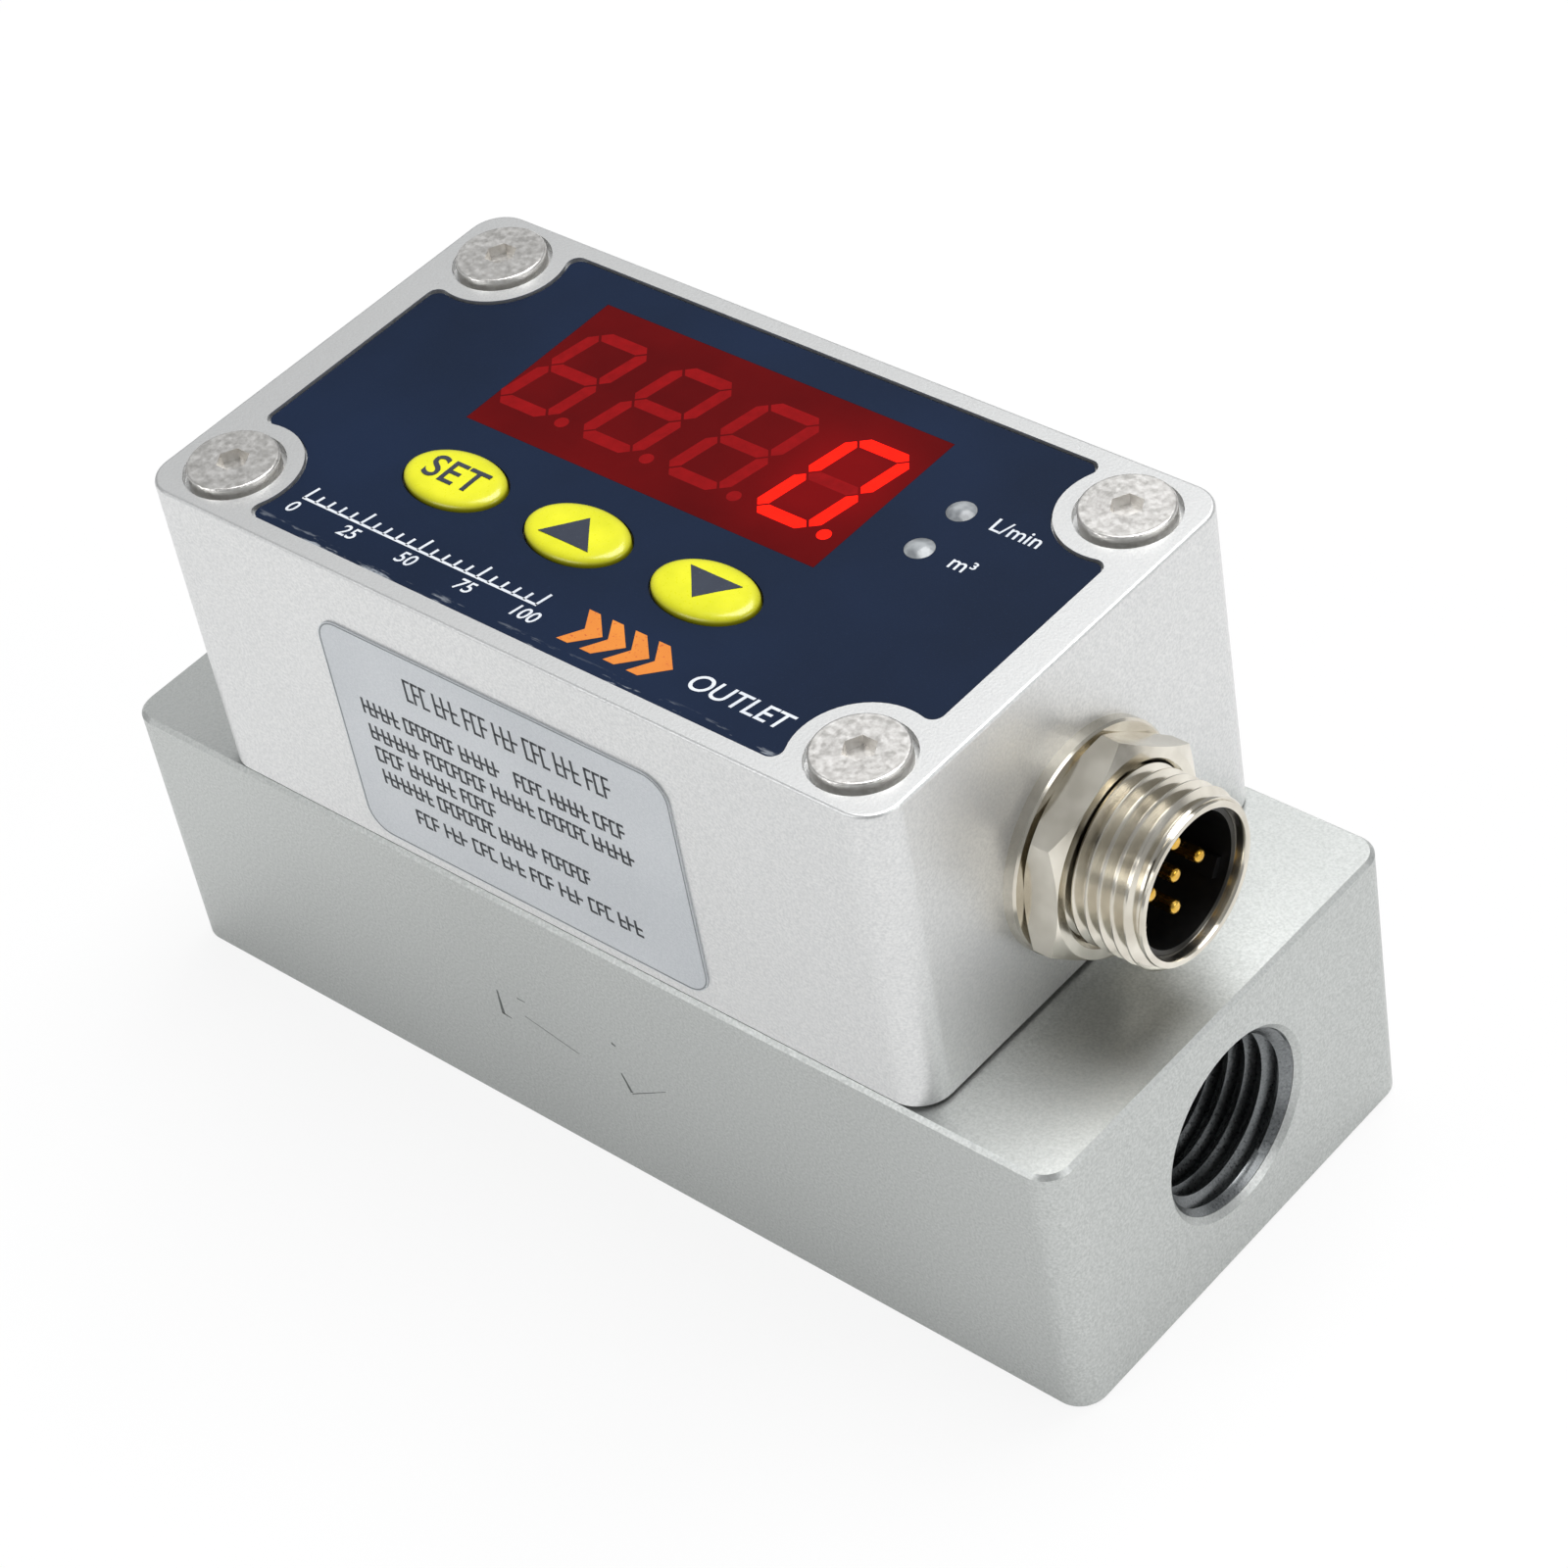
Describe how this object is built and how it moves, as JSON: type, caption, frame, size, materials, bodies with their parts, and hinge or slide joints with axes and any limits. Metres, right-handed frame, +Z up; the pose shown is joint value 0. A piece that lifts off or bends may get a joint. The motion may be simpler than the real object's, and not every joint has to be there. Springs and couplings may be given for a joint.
{
  "type": "thermal mass flow meter",
  "caption": "In-line thermal mass flow meter: metal flow body with a threaded port at each end, cover with display and keys, and a round threaded connector.",
  "frame": {"origin": "middle of the flow body's underside", "axes": "+X is the flow direction, towards the outlet port and the connector; -Y is the side with the label and the keys; +Z is up, out of the panel"},
  "size_m": [0.0828, 0.035, 0.0471],
  "materials": {
    "flow_body": "bead-blasted, clear anodised",
    "cover": "bead-blasted, clear anodised",
    "passage_steel": "turned",
    "nozzle_plastic": "turned white plastic",
    "seal_rubber": "matt",
    "carrier_plastic": "moulded",
    "silicon": "polished die",
    "board_green": "solder mask",
    "steel_screws": "plain",
    "cover_screws": "stainless",
    "spacer_brass": "nickel plated",
    "header_plastic": "moulded",
    "header_white": "moulded",
    "chip_epoxy": "moulded",
    "capacitor_can": "drawn can",
    "display_case": "moulded",
    "tinned_pins": "tinned",
    "display_face": "tinted window",
    "segments_dark": "unlit",
    "segments_lit": "lit",
    "switch_plastic": "moulded",
    "lamp_body": "moulded",
    "lens": "clear lens",
    "panel_film": "fine matt polyester",
    "label": "printed polyester",
    "plated_brass": "nickel plated",
    "insulator": "moulded",
    "gold_pins": "gold plated",
    "lead_insulation": "extruded",
    "key_yellow": "moulded",
    "plunger_plastic": "moulded"
  },
  "bodies": {
    "meter": {"base_block": "flow_body", "board_link": "header_plastic", "capacitors": "capacitor_can", "connector_gasket": "seal_rubber", "connector_insulator": "insulator", "connector_leads": "lead_insulation", "connector_nut": "plated_brass", "connector_pins": "gold_pins", "connector_shell": "plated_brass", "connector_washer": "plated_brass", "controller_chip": "chip_epoxy", "display_board": "board_green", "display_board_screws": "steel_screws", "display_face": "display_face", "display_module": "display_case", "display_pins": "tinned_pins", "display_segments": "segments_dark", "display_segments_lit": "segments_lit", "flow_nozzle": "nozzle_plastic", "flow_straightener": "passage_steel", "housing": "cover", "housing_screws": "cover_screws", "housing_seal": "seal_rubber", "indicator_lamps": "lamp_body", "indicator_lenses": "lens", "inlet_retaining_ring": "passage_steel", "inlet_screen": "passage_steel", "key_switches": "switch_plastic", "lead_header": "header_white", "main_board": "board_green", "main_board_screws": "steel_screws", "main_board_spacers": "spacer_brass", "nozzle_o_rings": "seal_rubber", "outlet_retaining_ring": "passage_steel", "outlet_screen": "passage_steel", "panel_film": "panel_film", "sensor_board": "board_green", "sensor_board_screws": "steel_screws", "sensor_carrier": "carrier_plastic", "sensor_chip": "silicon", "sensor_header": "header_plastic", "sensor_o_ring": "seal_rubber", "side_label": "label", "voltage_regulator": "chip_epoxy"},
    "set_key": {"set_key": "key_yellow", "set_key_plunger": "plunger_plastic"},
    "up_key": {"up_key": "key_yellow", "up_key_plunger": "plunger_plastic"},
    "down_key": {"down_key": "key_yellow", "down_key_plunger": "plunger_plastic"}
  },
  "joints": [
    {"name": "set_key_press", "type": "slide", "parent": "meter", "child": "set_key", "axis": [0, 0, 1], "range_m": [-0.00025, 0], "stiffness_N_per_m": 2000, "springref_m": 0.0001},
    {"name": "up_key_press", "type": "slide", "parent": "meter", "child": "up_key", "axis": [0, 0, 1], "range_m": [-0.00025, 0], "stiffness_N_per_m": 2000, "springref_m": 0.0001},
    {"name": "down_key_press", "type": "slide", "parent": "meter", "child": "down_key", "axis": [0, 0, 1], "range_m": [-0.00025, 0], "stiffness_N_per_m": 2000, "springref_m": 0.0001}
  ]
}
